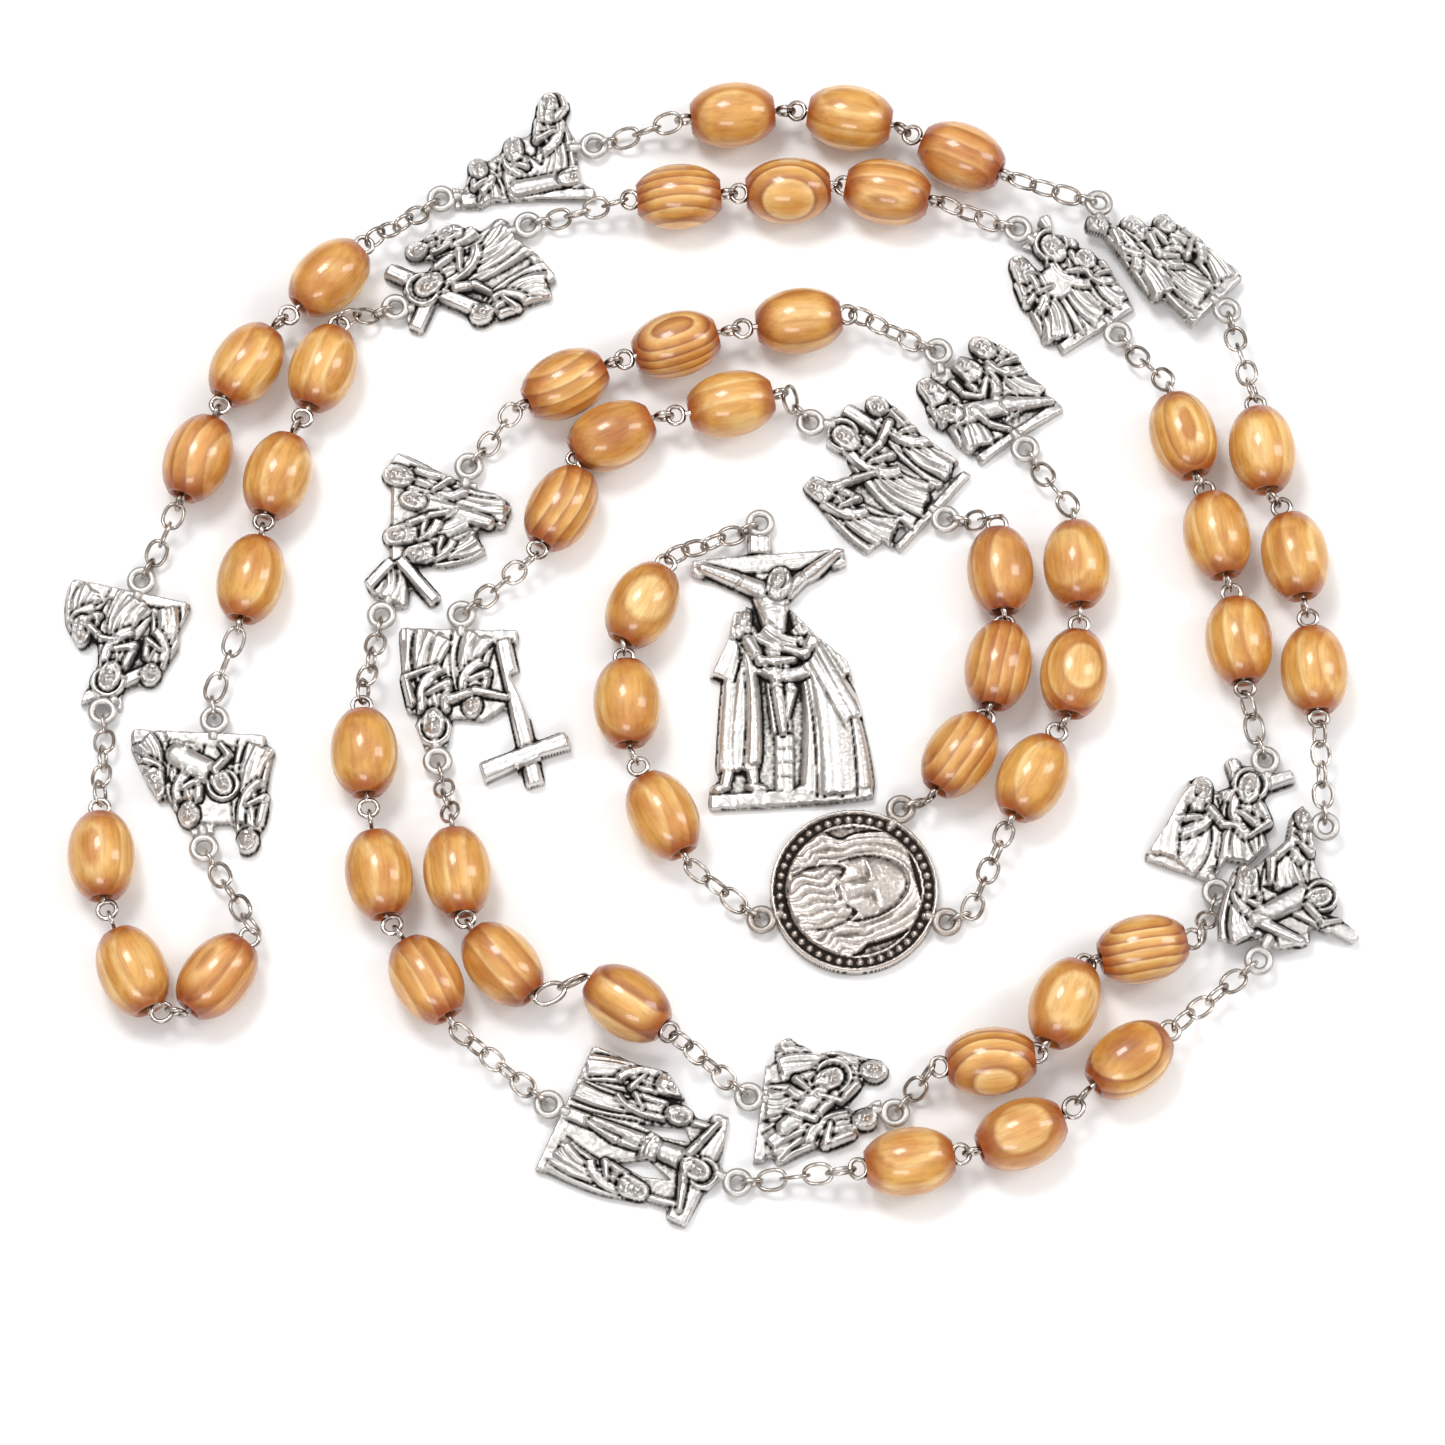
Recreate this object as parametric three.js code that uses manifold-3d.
// Way-of-the-Cross chaplet laid flat on a table, in millimetres, +Z up.
//
// Fourteen cast station medals and a round centre medal are joined into one closed loop by
// fifteen runs of three barrel beads. A sixteenth run, the tail, carries the crucifix.
// Every bead is threaded on an eye pin, and oval chain links tie the pins to the medals.
// The loop lies as a double strand: strand A inside, strand B outside, wound in a spiral.

import * as THREE from 'three';
import { mergeVertices } from 'three/addons/utils/BufferGeometryUtils.js';
import Module from 'manifold-3d';

const wasm = await Module();
wasm.setup();

// ---------- driving sizes ----------

const BEAD_LENGTH = 9.8;
const BEAD_RADIUS = 3.9;
const BORE_RADIUS = 1.25;
const BEAD_HEIGHT = BEAD_RADIUS + 0.1; // height of a bead's axis above the table
const BEAD_SIDES = 8;

const WIRE_RADIUS = 0.27;
const PIN_RADIUS = 0.35;
const EYE_LENGTH = 1.9; // centre line of an eye, end to end
const EYE_HALF_WIDTH = 0.8;
const END_LINK_LENGTH = 2.5; // centre line of the link on a medal's eyelet, end to end
const LINK_LENGTH = 3.6; // centre line of the other links, end to end
const EYE_REACH = 1.75; // how far the eye next to a chain reaches out of its bead
const MOST_STEM = 0.7; // how far a pin's eye may stand out of its bead
const LINK_HALF_WIDTH = 1.1;
const PIN_STUB = 1; // how far the pin of a folding eye runs back into its bead
const WIRE_BITE = 0.3; // how far two joined wires run into each other

const MEDAL_THICKNESS = 2.2;
const EYELET_RADIUS = 1.3; // centre line of a cast eyelet
const EYELET_TUBE = 0.42;
const EYELET_HEIGHT = 1.25; // height of the eyelets of a medal that lies flat
const NECK_WIDTH = 1.6;
const NECK_THICKNESS = 0.8;
const NECK_BITE = 0.9; // how far an eyelet's neck runs into the medal
const LINK_REACH = 0.35; // end link's wire, measured from the middle of the eyelet
const FOLD_GAP = 0.75; // how far the two eyes of a folding joint reach past each other

// The round medal: its three eyelets stand eyeletReach from its middle, at eyeletTurns degrees.
const CENTRE = {
  x: 15.1, y: -20.7, radius: 9.7, sides: 24, eyeletReach: 11.2, eyeletTurns: [198, 61, -19.5],
};

// The layout below is measured from the middle of the spiral. This offset moves the middle
// of the whole outline onto the origin.
const LAYOUT_OFFSET = new THREE.Vector3(2, -10, 0);

// ---------- materials ----------

const olive = new THREE.MeshStandardMaterial({ color: 0xd79a4e, roughness: 0.35, metalness: 0 });
const silver = new THREE.MeshStandardMaterial({ color: 0xb9b9b7, roughness: 0.35, metalness: 1 });
const nickel = new THREE.MeshStandardMaterial({ color: 0xc4b9b0, roughness: 0.25, metalness: 1 });

// ---------- layout: station medals ----------
// outline: the medal's edge seen from above. eyelets: first the one nearest strand start.
// lift and tilt raise a medal that leans on its neighbour, turned about its eyelet line.

const STATIONS = {
  station_01: {
    eyelets: [[26.1, 24.6], [10.4, 36.7]],
    outline: [[20.7, 20.6], [29.3, 30.4], [27.2, 32.4], [23.9, 34.9], [20.9, 38.2], [18.2, 41.2],
      [16, 40.8], [14.6, 38.8], [12.4, 37.2], [12.2, 34], [14.6, 32.4], [14.9, 30.1],
      [10.8, 30.2], [9.4, 28.7], [10.2, 27], [13.9, 23], [16.5, 20.1], [18.8, 22]],
  },
  station_02: {
    eyelets: [[-30.4, 12.8], [-32.9, -5.1]],
    outline: [[-38, 11.2], [-23.8, 10.9], [-23, 6.4], [-24.6, 5.4], [-22.4, 0.2], [-18, -1.2],
      [-17.6, -3.6], [-21, -4.7], [-20.3, -7.6], [-22.6, -8.4], [-23.8, -6], [-27.4, -7.8],
      [-28.3, -5], [-25.4, -3.6], [-28.2, -0.2], [-31.3, -0.6], [-31.8, -3.2], [-34.4, -3.6],
      [-35.6, -0.6], [-37.6, 0.4], [-37.8, 8.2]],
  },
  station_03: {
    eyelets: [[3.0, -45], [19.5, -46.9]],
    outline: [[4.9, -41], [3.4, -52.8], [8, -53.2], [14.6, -50.6], [17.4, -48.6], [18, -45.4],
      [19.2, -42], [17.9, -40.5], [14.7, -39.2], [10.5, -40], [7.9, -37.7], [5.9, -39]],
  },
  station_04: {
    eyelets: [[56.6, -20.9], [62.7, -5]],
    outline: [[48.3, -16.7], [56.2, -19.6], [57.9, -17], [60.4, -17.4], [63.3, -14.6],
      [63.9, -12.6], [63, -9.7], [66.1, -7.8], [65.9, -6.2], [61.6, -6.6], [60.6, -4.2],
      [57.7, -4.1], [56.6, -6.2], [53.8, -7.3], [50.5, -13.4]],
  },
  station_05: {
    eyelets: [[46.8, 47.9], [35.2, 61.4]],
    outline: [[40.1, 45.4], [49, 51.4], [46.9, 54.8], [44.8, 58.6], [43, 59.7], [39.3, 61],
      [39.2, 63.6], [37.9, 63.6], [37.2, 61], [35.9, 59.5], [34.3, 58.8], [34, 57.4],
      [33.2, 54.4], [35.1, 50.6], [38.2, 46.4]],
  },
  station_06: {
    eyelets: [[-23.2, 61.9], [-38.8, 51.3]],
    outline: [[-41, 54.4], [-40.3, 56.7], [-38, 57.2], [-38.2, 59.4], [-34.4, 62.2],
      [-29.5, 61.6], [-27, 63.4], [-25.6, 62.8], [-24.6, 60.2],
      [-22.2, 58.4], [-20, 55.8], [-18.9, 52.4], [-24, 50.6], [-27.7, 48.7],
      [-31.8, 48.7], [-34.2, 50.7], [-35.6, 47.6], [-37.6, 48.8], [-37.4, 53]],
  },
  station_07: {
    eyelets: [[-58.8, -0.1], [-59.6, -15.6]],
    outline: [[-68.3, -1.2], [-69, -2.4], [-66.3, -8], [-64.4, -10.8], [-61.5, -14], [-58, -13.6],
      [-55.8, -14.6], [-55.4, -16.6], [-53.9, -17], [-51.8, -14.2], [-52.3, -10.3],
      [-50.9, -4.4], [-52.6, -1.9]],
  },
  station_08: {
    eyelets: [[-71.8, 0.9], [-67.8, 17]],
    outline: [[-75.8, 17.3], [-61.8, 14.2], [-63.3, 11], [-63.3, 7.8], [-65.1, 3.8], [-69.2, 3.6],
      [-68.4, 1.2], [-69.6, 0.8], [-71.6, 2.6], [-74.4, 1.9], [-73.6, 4.8], [-74.8, 8.6],
      [-77.1, 12.4], [-76.4, 16]],
  },
  station_09: {
    eyelets: [[-33.6, 65.3], [-15.4, 72.2]],
    outline: [[-20.7, 80], [-17.8, 77.4], [-17.7, 73.6], [-17, 67.4], [-14.6, 66.8],
      [-14.4, 65.4], [-22.2, 65.4], [-27.6, 65], [-29.8, 63.6], [-31.8, 64], [-32.4, 67.2],
      [-29.5, 71.6], [-26.4, 72.7], [-23.7, 75.6]],
  },
  station_10: {
    eyelets: [[44.8, 64.2], [59.7, 50.4]], lift: 1.3, tilt: -8,
    outline: [[55.2, 48], [61.9, 55.2], [58.1, 58.6], [54.4, 61.9], [51.8, 63.7], [48.4, 63.3],
      [46, 62.6], [42.4, 62.6], [41.6, 61.2], [45.2, 60], [47.8, 56.2], [50.2, 52]],
  },
  station_11: {
    eyelets: [[69.2, -13.4], [61.1, -29.4]], lift: 1.4, tilt: -8,
    outline: [[58.8, -18], [60.6, -18.6], [64.6, -15.2], [65.3, -12], [66.6, -11],
      [67.6, -12.4], [67.6, -15], [68.4, -17], [70.6, -21.2], [70.4, -23.4], [73.1, -26.3],
      [72.2, -27], [69.6, -25.7], [66.4, -28.3], [63.2, -27.8], [61, -26.8], [58.6, -27.6],
      [56.6, -27], [56.6, -23.6]],
  },
  station_12: {
    eyelets: [[-19.7, -45.9], [1.7, -55]],
    outline: [[-14.7, -38.9], [-21.2, -53.4], [-19.9, -54.7], [-14.6, -57.4], [-10.4, -57.9],
      [-8.4, -57], [-6, -59.4], [-4.2, -60], [-2.2, -56.4], [0, -54.2], [0, -51.5],
      [0.8, -46.9], [-0.8, -46.2], [-3.4, -46.4], [-6.3, -41.9], [-9.4, -41.2]],
  },
  station_13: {
    eyelets: [[-39.7, 12.7], [-29.8, 31.2]],
    outline: [[-38.2, 33], [-35.8, 32.4], [-31.6, 29.8], [-28.5, 29.2], [-23.8, 26], [-23.8, 23.4],
      [-26.2, 21.6], [-30.3, 18.9], [-33.6, 18.6], [-32.4, 14.8], [-33.6, 13.4], [-38, 13.8],
      [-41, 15], [-42.2, 17.8], [-39.8, 19.6], [-41, 23.8], [-40.6, 29.5]],
  },
  station_14: {
    eyelets: [[25.5, 45.7], [35.6, 33.4]],
    outline: [[30.5, 31.6], [34.2, 34.6], [40.2, 38.4], [40, 39.8], [36.3, 42.6], [35, 45.1],
      [32.1, 47.1], [29.7, 47.9], [28.2, 46], [27.6, 44], [25.4, 43.8], [22.4, 41.6],
      [22.3, 39.6], [25.2, 36]],
  },
};

// ---------- layout: bead runs ----------
// Each bead is [x, y, heading], and the heading is the way its pin points, in degrees.
// from and to: [medal, eyelet number]. Runs go from the start of the strand to its end.

const RUNS = {
  tail: { from: ['centre_medal', 0], to: ['crucifix', 0],
    beads: [[-6.8, -12.5, 117], [-11, 1, 93], [-9.3, 13, 62]] },
  a1: { from: ['centre_medal', 1], to: ['station_01', 0],
    beads: [[27.3, -5.2, 56], [31.9, 5.6, 80], [32.3, 17.2, 93]] },
  b1: { from: ['centre_medal', 2], to: ['station_14', 1],
    beads: [[35.6, -8, 63], [40.6, 4.6, 82], [41.2, 18, 93]] },
  a2: { from: ['station_01', 1], to: ['station_02', 0],
    beads: [[1, 38, 193], [-13, 34, 205], [-18.8, 25, 242]] },
  b2: { from: ['station_14', 0], to: ['station_13', 1],
    beads: [[9, 48.5, 188], [-5.5, 45.5, 197], [-18.5, 40.5, 208]] },
  a3: { from: ['station_02', 1], to: ['station_03', 0],
    beads: [[-30.3, -19.3, 277], [-25, -30.2, 312], [-10.8, -34.8, 325]] },
  b3: { from: ['station_13', 0], to: ['station_12', 0],
    beads: [[-41.2, -5, 274], [-39.2, -19.6, 280], [-33.6, -32, 300]] },
  a4: { from: ['station_03', 1], to: ['station_04', 0],
    beads: [[30.3, -41.6, 6], [38.8, -34.8, 68], [47.8, -28.4, 12]] },
  b4: { from: ['station_12', 1], to: ['station_11', 1],
    beads: [[21, -53.2, 8], [33.6, -50, 22], [46, -41.4, 36]] },
  a5: { from: ['station_04', 1], to: ['station_05', 0],
    beads: [[59.8, 8.6, 95], [57.6, 21.6, 100], [54, 34, 104]] },
  b5: { from: ['station_11', 0], to: ['station_10', 1],
    beads: [[68.4, 5, 93], [66.6, 19, 98], [63.2, 32.2, 96]] },
  a6: { from: ['station_05', 1], to: ['station_06', 0],
    beads: [[19.6, 65, 168], [7.8, 65.2, 184], [-5.2, 64.4, 184]] },
  b6: { from: ['station_10', 0], to: ['station_09', 1],
    beads: [[28.5, 69.6, 155], [15.2, 74.6, 170], [1.2, 75, 186]] },
  a7: { from: ['station_06', 1], to: ['station_07', 0],
    beads: [[-47, 42.5, 252], [-52, 29, 254], [-54.8, 16.2, 258]] },
  b7: { from: ['station_09', 0], to: ['station_08', 1],
    beads: [[-46.5, 54, 226], [-56, 43, 238], [-61.4, 31.2, 250]] },
  u: { from: ['station_08', 0], to: ['station_07', 1],
    beads: [[-71, -17.4, 274], [-67, -31, 294], [-57.4, -31.6, 52]] },
};

// Runs whose three beads turn on their pins as pieces of their own.
const THREADED_RUNS = ['tail', 'a1', 'b1', 'a5', 'b5', 'b6', 'u'];
// Runs held as one strand, beads and pins together.
const JOINED_RUNS = ['a2', 'a3', 'a4', 'a6', 'b2', 'b3', 'b4'];

// End links that a fold line crosses lie square to that line.
const LINK_HEADINGS = {
  'a1/from': 21, 'b1/from': 21, 'u/from': -83, 'a7/to': 97,
};

// ---------- crucifix outline ----------

const CRUCIFIX = {
  eyelet: [4.4, 24.1],
  outline: [[-1.9, -10.9], [10, -10.5], [17.4, -9.4], [17.8, -7.2], [16.6, -1.2], [14.6, 7],
    [10.8, 10.4], [7.4, 14], [9.8, 16.6], [14.4, 19], [14.2, 21], [5.8, 20.4], [5.6, 22.6],
    [2.9, 22.6], [2.9, 20.4], [-3.6, 19.4], [-3.7, 17.9], [-0.3, 16.3], [2.5, 15],
    [2.8, 13.4], [1.2, 12.9], [0.6, 9.7], [-1.9, 4.2], [-1.2, 2], [-1.9, -6.8]],
};

// ---------- small helpers ----------

const UP = new THREE.Vector3(0, 0, 1);

function radians(degrees) {
  return THREE.MathUtils.degToRad(degrees);
}

function point(x, y, z) {
  return new THREE.Vector3(x, y, z);
}

function headingVector(degrees) {
  return new THREE.Vector3(Math.cos(radians(degrees)), Math.sin(radians(degrees)), 0);
}

function along(start, direction, distance) {
  return start.clone().addScaledVector(direction, distance);
}

function solid(geometry) {
  const bare = geometry.clone();
  bare.deleteAttribute('normal');
  bare.deleteAttribute('uv');
  const merged = mergeVertices(bare, 1e-4);
  return new wasm.Manifold(new wasm.Mesh({
    numProp: 3,
    vertProperties: new Float32Array(merged.attributes.position.array),
    triVerts: new Uint32Array(merged.index.array),
  }));
}

function join(geometries) {
  return geometries.map(solid).reduce((whole, piece) => whole.add(piece));
}

function meshFrom(name, manifold, material) {
  const data = manifold.getMesh();
  const geometry = new THREE.BufferGeometry();
  geometry.setAttribute('position', new THREE.BufferAttribute(data.vertProperties, 3));
  geometry.setIndex(new THREE.BufferAttribute(data.triVerts, 1));
  geometry.computeVertexNormals();
  const mesh = new THREE.Mesh(geometry, material);
  mesh.name = name;
  return mesh;
}

// ---------- wire pieces ----------

// An oval ring of wire whose centre line runs from start to end. A flat ring lies in the
// plane of the table and an upright one stands square to it.
function ovalRing(start, end, halfWidth, upright, corners = 6) {
  const long = end.clone().sub(start);
  const length = long.length();
  long.normalize();
  const side = new THREE.Vector3().crossVectors(UP, long).normalize();
  const top = new THREE.Vector3().crossVectors(long, side);
  const ring = new THREE.TorusGeometry(halfWidth, WIRE_RADIUS, 3, corners);
  ring.scale(length / 2 / halfWidth, 1, 1);
  const across = upright ? top : side;
  const third = new THREE.Vector3().crossVectors(long, across);
  const middle = start.clone().add(end).multiplyScalar(0.5);
  const place = new THREE.Matrix4().makeBasis(long, across, third).setPosition(middle);
  ring.applyMatrix4(place);
  return ring;
}

function rod(start, end, radius) {
  const long = end.clone().sub(start);
  const shape = new THREE.CylinderGeometry(radius, radius, long.length(), 4);
  const turn = new THREE.Quaternion().setFromUnitVectors(
    new THREE.Vector3(0, 1, 0), long.clone().normalize());
  shape.applyQuaternion(turn);
  const middle = start.clone().add(end).multiplyScalar(0.5);
  shape.translate(middle.x, middle.y, middle.z);
  return shape;
}

function linkCount(distance) {
  return Math.max(1, Math.round(distance / (LINK_LENGTH - WIRE_BITE)));
}

// Links from start to end. The first lies flat and every other one stands upright.
function linkChain(start, end) {
  const distance = start.distanceTo(end);
  const direction = end.clone().sub(start).normalize();
  const count = linkCount(distance);
  const length = (distance + (count - 1) * WIRE_BITE) / count;
  const links = [];
  for (let i = 0; i < count; i += 1) {
    const near = along(start, direction, i * (length - WIRE_BITE));
    const far = along(near, direction, length);
    links.push(ovalRing(near, far, LINK_HALF_WIDTH, i % 2 === 1, 4));
  }
  return links;
}

// ---------- medals ----------

function eyeletPlace(medal, number) {
  if (medal === 'centre_medal') {
    const turn = headingVector(CENTRE.eyeletTurns[number]);
    return point(CENTRE.x, CENTRE.y, EYELET_HEIGHT).addScaledVector(turn, CENTRE.eyeletReach);
  }
  if (medal === 'crucifix') {
    return point(CRUCIFIX.eyelet[0], CRUCIFIX.eyelet[1], EYELET_HEIGHT);
  }
  const { eyelets, lift = 0 } = STATIONS[medal];
  return point(eyelets[number][0], eyelets[number][1], EYELET_HEIGHT + lift);
}

// The point of an outline nearest to a place.
function nearestEdgePoint(place, outline) {
  const target = new THREE.Vector3();
  const best = { point: null, distance: Infinity };
  outline.forEach(([x, y], i) => {
    const [nextX, nextY] = outline[(i + 1) % outline.length];
    const edge = new THREE.Line3(point(x, y, 0), point(nextX, nextY, 0));
    edge.closestPointToPoint(place, true, target);
    if (target.distanceTo(place) < best.distance) {
      best.distance = target.distanceTo(place);
      best.point = target.clone();
    }
  });
  return best.point;
}

// A cast eyelet and the neck that carries it on the medal's edge.
function eyelet(x, y, edgePoint) {
  const ring = new THREE.TorusGeometry(EYELET_RADIUS, EYELET_TUBE, 3, 7);
  ring.translate(x, y, EYELET_HEIGHT);
  const inward = edgePoint.clone().sub(point(x, y, 0)).setZ(0);
  const length = inward.length() - EYELET_RADIUS + NECK_BITE;
  inward.normalize();
  const neck = new THREE.BoxGeometry(length, NECK_WIDTH, NECK_THICKNESS);
  neck.rotateZ(Math.atan2(inward.y, inward.x));
  const middle = along(point(x, y, EYELET_HEIGHT), inward, EYELET_RADIUS + length / 2);
  neck.translate(middle.x, middle.y, middle.z);
  return [ring, neck];
}

function slab(outline) {
  const shape = new THREE.Shape(outline.map(([x, y]) => new THREE.Vector2(x, y)));
  return new THREE.ExtrudeGeometry(shape, { depth: MEDAL_THICKNESS, bevelEnabled: false });
}

function tilted(manifold, eyelets, lift, tilt) {
  const mesh = manifold.getMesh();
  const points = new THREE.BufferAttribute(mesh.vertProperties, 3);
  const geometry = new THREE.BufferGeometry();
  geometry.setAttribute('position', points);
  geometry.setIndex(new THREE.BufferAttribute(mesh.triVerts, 1));
  const start = point(eyelets[0][0], eyelets[0][1], EYELET_HEIGHT);
  const end = point(eyelets[1][0], eyelets[1][1], EYELET_HEIGHT);
  const axis = end.clone().sub(start).normalize();
  geometry.translate(-start.x, -start.y, -start.z);
  geometry.applyQuaternion(new THREE.Quaternion().setFromAxisAngle(axis, radians(tilt)));
  geometry.translate(start.x, start.y, start.z + lift);
  return solid(geometry);
}

function stationMedal(name) {
  const { outline, eyelets, lift = 0, tilt = 0 } = STATIONS[name];
  const rings = eyelets.flatMap(([x, y]) => (
    eyelet(x, y, nearestEdgePoint(point(x, y, 0), outline))));
  let medal = join([slab(outline), ...rings]);
  if (lift > 0 || tilt !== 0) {
    medal = tilted(medal, eyelets, lift, tilt);
  }
  return meshFrom(name, medal, silver);
}

function centreMedal() {
  const disc = new THREE.CylinderGeometry(
    CENTRE.radius, CENTRE.radius, MEDAL_THICKNESS, CENTRE.sides);
  disc.rotateX(Math.PI / 2);
  disc.translate(CENTRE.x, CENTRE.y, MEDAL_THICKNESS / 2);
  const middle = point(CENTRE.x, CENTRE.y, 0);
  const rings = [0, 1, 2].flatMap((number) => {
    const place = eyeletPlace('centre_medal', number).setZ(0);
    const rim = along(middle, place.clone().sub(middle).normalize(), CENTRE.radius - 0.2);
    return eyelet(place.x, place.y, rim);
  });
  return meshFrom('centre_medal', join([disc, ...rings]), nickel);
}

function crucifix() {
  const { eyelet: [x, y], outline } = CRUCIFIX;
  const rings = eyelet(x, y, nearestEdgePoint(point(x, y, 0), outline));
  return meshFrom('crucifix', join([slab(CRUCIFIX.outline), ...rings]), silver);
}

// ---------- beads ----------

// Half of the barrel's profile, from its mouth to its belly: [radius, distance from the middle].
const BARREL_MOUTH = [1.75, BEAD_LENGTH / 2];
const BARREL_SHOULDER = [3.4, 2.7];
const BARREL_BELLY = [BEAD_RADIUS, 0];

function beadShape(bored) {
  const inner = bored ? BORE_RADIUS : 0;
  const upper = [BARREL_MOUTH, BARREL_SHOULDER];
  const lower = upper.map(([radius, s]) => [radius, -s]);
  const profile = [[inner, -BEAD_LENGTH / 2], ...lower, BARREL_BELLY, ...upper.reverse()];
  profile.push([inner, BEAD_LENGTH / 2]);
  if (bored) {
    profile.push([inner, -BEAD_LENGTH / 2]);
  }
  const points = profile.map(([radius, s]) => new THREE.Vector2(radius, s));
  return new THREE.LatheGeometry(points, BEAD_SIDES);
}

function placedBead([x, y, heading], bored) {
  const shape = beadShape(bored);
  shape.rotateZ(-Math.PI / 2);
  shape.rotateZ(radians(heading));
  shape.translate(x, y, BEAD_HEIGHT);
  return shape;
}

function beadMesh(name, bead) {
  return meshFrom(name, solid(placedBead(bead, true)), olive);
}

// ---------- eye pins and chains ----------

function pinEnds([x, y, heading]) {
  const direction = headingVector(heading);
  const middle = point(x, y, BEAD_HEIGHT);
  return {
    direction,
    back: along(middle, direction, -BEAD_LENGTH / 2),
    front: along(middle, direction, BEAD_LENGTH / 2),
  };
}

// The eye at one end of a pin. It reaches to tip, and a short gap sinks it into the bore.
function eyeAt(mouth, outward, tip, upright) {
  const sunk = Math.max(-MOST_STEM, EYE_LENGTH - mouth.distanceTo(tip));
  const root = along(mouth, outward, -sunk);
  return { ring: ovalRing(root, tip, EYE_HALF_WIDTH, upright), root };
}

// Pieces of wire between the last bead of a run and a medal's eyelet.
function chainToMedal(mouth, outward, medal, number, headingKey) {
  const tip = along(mouth, outward, EYE_REACH);
  const place = eyeletPlace(medal, number);
  const fixedHeading = LINK_HEADINGS[headingKey];
  const away = fixedHeading === undefined
    ? tip.clone().sub(place).setZ(0).normalize()
    : headingVector(fixedHeading);
  const inner = along(place, away, LINK_REACH);
  const outer = along(inner, away, END_LINK_LENGTH);
  const endLink = ovalRing(inner, outer, LINK_HALF_WIDTH, true);
  const chainStart = along(tip, outward, -WIRE_BITE);
  const pull = chainStart.clone().sub(outer).normalize();
  const chainEnd = along(outer, pull, -WIRE_BITE);
  const links = linkChain(chainEnd, chainStart);
  const lastIsFlat = links.length % 2 === 1;
  const eye = eyeAt(mouth, outward, tip, lastIsFlat);
  return { root: eye.root, pieces: [eye.ring, endLink, ...links] };
}

// Where the eyes of two neighbouring beads meet.
function meeting(bead, next) {
  return pinEnds(bead).front.add(pinEnds(next).back).multiplyScalar(0.5);
}

// A wire node: the pins of some neighbouring beads, their eyes, and the chain at each end
// that reaches a medal. first and last are bead numbers in the run.
function wirePieces(runName, first, last) {
  const run = RUNS[runName];
  const pieces = [];
  for (let i = first; i <= last; i += 1) {
    const { direction, back, front } = pinEnds(run.beads[i]);
    const backward = direction.clone().negate();
    let start;
    let end;
    if (i === 0) {
      start = chainToMedal(back, backward, ...run.from, `${runName}/from`);
      pieces.push(...start.pieces);
    } else {
      const bite = i === first ? FOLD_GAP / 2 : WIRE_BITE / 2;
      const middle = meeting(run.beads[i - 1], run.beads[i]);
      const pull = middle.clone().sub(back).normalize();
      start = eyeAt(back, backward, along(middle, pull, bite), true);
      pieces.push(start.ring);
    }
    if (i === run.beads.length - 1) {
      end = chainToMedal(front, direction, ...run.to, `${runName}/to`);
      pieces.push(...end.pieces);
    } else {
      const bite = i === last ? FOLD_GAP / 2 : WIRE_BITE / 2;
      const middle = meeting(run.beads[i], run.beads[i + 1]);
      const pull = middle.clone().sub(front).normalize();
      end = eyeAt(front, direction, along(middle, pull, bite), false);
      pieces.push(end.ring);
    }
    pieces.push(rod(start.root, end.root, PIN_RADIUS));
  }
  return pieces;
}

function wireMesh(name, runName, first, last) {
  return meshFrom(name, join(wirePieces(runName, first, last)), nickel);
}

// A strand node: neighbouring beads held together by one ring of wire between each two,
// with the chain at each end that reaches a medal.
function strandMesh(name, runName, first, last) {
  const run = RUNS[runName];
  const pieces = run.beads.slice(first, last + 1).map((bead) => placedBead(bead, false));
  for (let i = first; i < last; i += 1) {
    const { front, direction } = pinEnds(run.beads[i]);
    const next = pinEnds(run.beads[i + 1]);
    const root = along(front, direction, -WIRE_BITE);
    const tip = along(next.back, next.direction, WIRE_BITE);
    pieces.push(ovalRing(root, tip, EYE_HALF_WIDTH, i % 2 === 1));
  }
  pieces.push(...strandEnds(runName, first, last));
  return meshFrom(name, join(pieces), olive);
}

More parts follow.
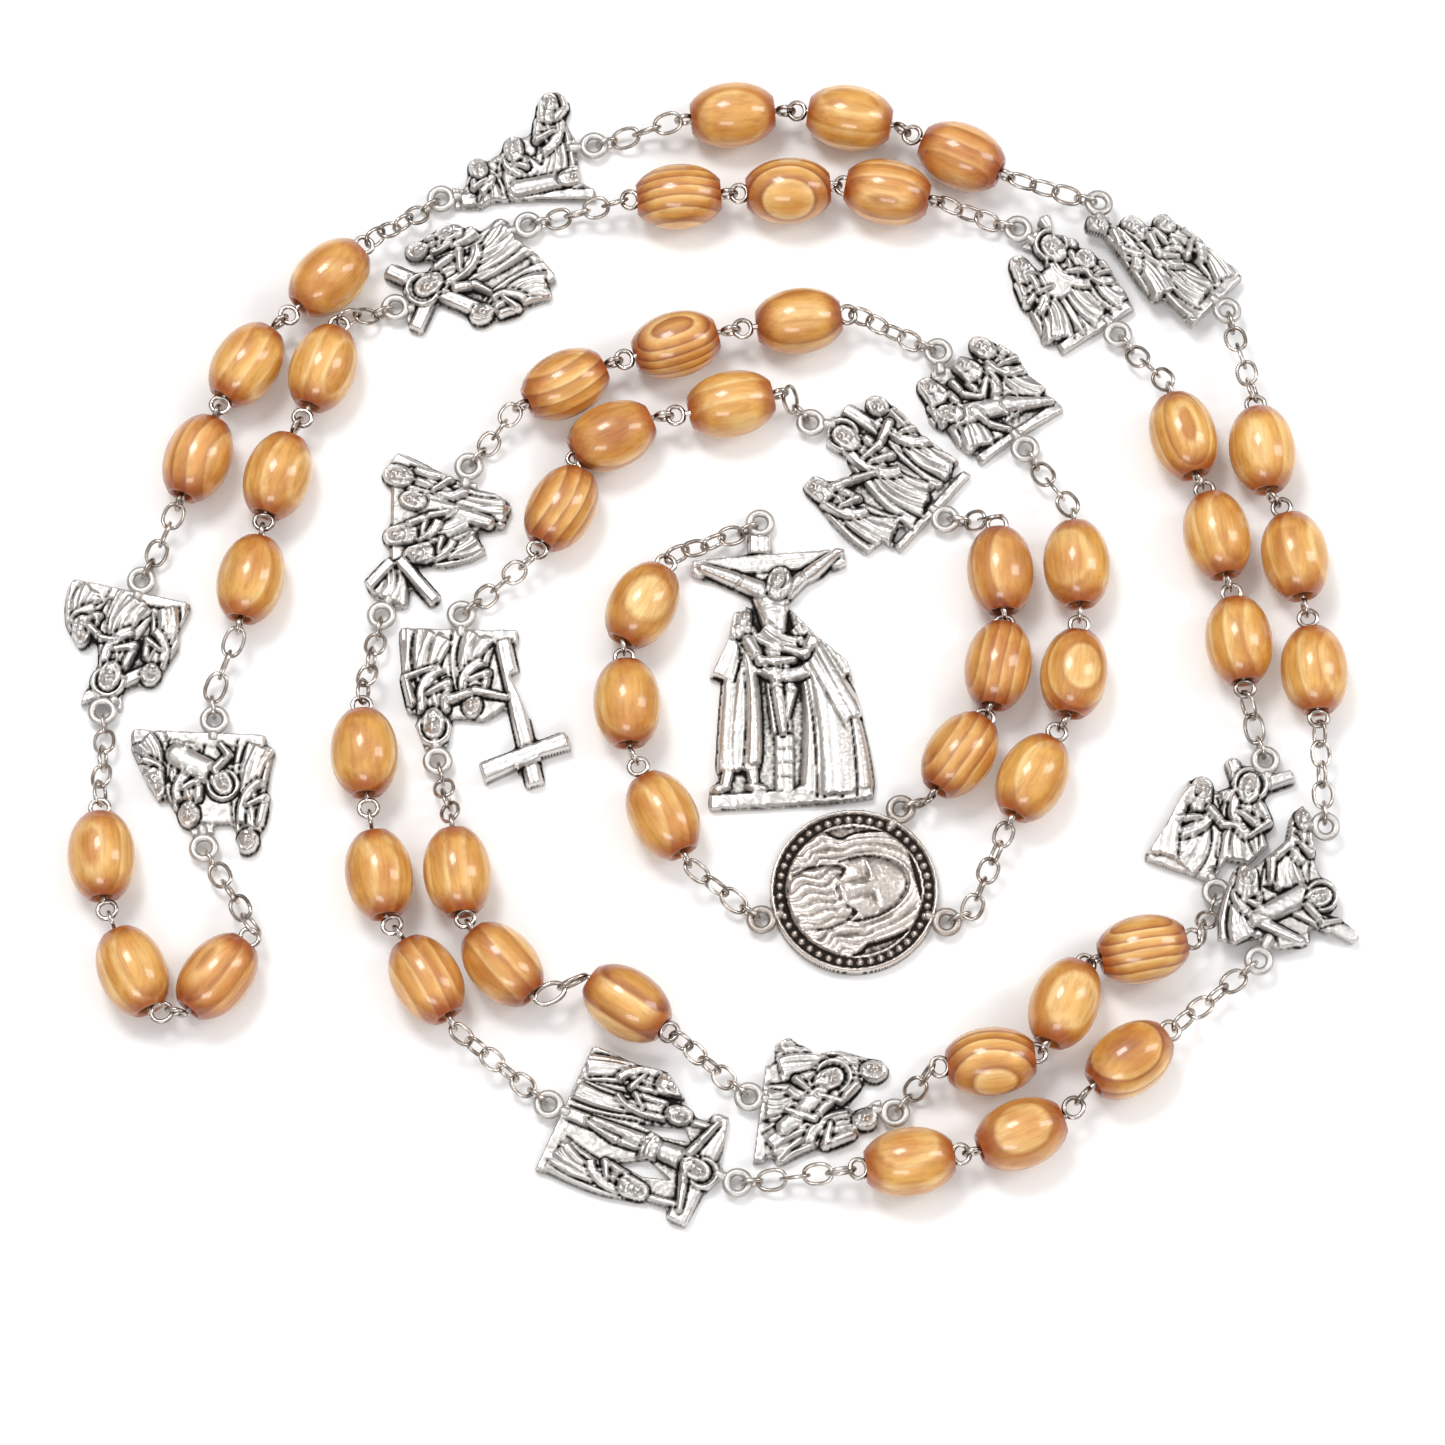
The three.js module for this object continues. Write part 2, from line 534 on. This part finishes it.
// The open ends of a strand node: a chain to a medal, or the eye of a folding joint.
function strandEnds(runName, first, last) {
  const run = RUNS[runName];
  const start = pinEnds(run.beads[first]);
  const end = pinEnds(run.beads[last]);
  const pieces = [];
  if (first === 0) {
    const backward = start.direction.clone().negate();
    pieces.push(...chainToMedal(start.back, backward, ...run.from, `${runName}/from`).pieces);
  }
  if (last === run.beads.length - 1) {
    pieces.push(...chainToMedal(end.front, end.direction, ...run.to, `${runName}/to`).pieces);
  } else {
    const middle = meeting(run.beads[last], run.beads[last + 1]);
    const pull = middle.clone().sub(end.front).normalize();
    const tip = along(middle, pull, FOLD_GAP / 2);
    const eye = eyeAt(end.front, end.direction, tip, false);
    pieces.push(eye.ring, rod(along(end.front, end.direction, -PIN_STUB), eye.root, PIN_RADIUS));
  }
  return pieces;
}

// ---------- assembly ----------

const chaplet = new THREE.Group();
chaplet.position.copy(LAYOUT_OFFSET);

Object.keys(STATIONS).forEach((name) => chaplet.add(stationMedal(name)));
chaplet.add(centreMedal());
chaplet.add(crucifix());

THREADED_RUNS.forEach((runName) => {
  chaplet.add(wireMesh(`wire_${runName}`, runName, 0, 2));
  RUNS[runName].beads.forEach((bead, i) => {
    chaplet.add(beadMesh(`bead_${runName}_${i + 1}`, bead));
  });
});

JOINED_RUNS.forEach((runName) => chaplet.add(strandMesh(`strand_${runName}`, runName, 0, 2)));

// The left arm folds at one joint of each strand, so runs a7 and b7 are in two parts.
chaplet.add(strandMesh('strand_a7_head', 'a7', 0, 0));
chaplet.add(wireMesh('wire_a7_arm', 'a7', 1, 2));
chaplet.add(beadMesh('bead_a7_2', RUNS.a7.beads[1]));
chaplet.add(beadMesh('bead_a7_3', RUNS.a7.beads[2]));
chaplet.add(wireMesh('wire_b7_head', 'b7', 0, 1));
chaplet.add(beadMesh('bead_b7_1', RUNS.b7.beads[0]));
chaplet.add(beadMesh('bead_b7_2', RUNS.b7.beads[1]));
chaplet.add(wireMesh('wire_b7_arm', 'b7', 2, 2));
chaplet.add(beadMesh('bead_b7_3', RUNS.b7.beads[2]));

export default chaplet;
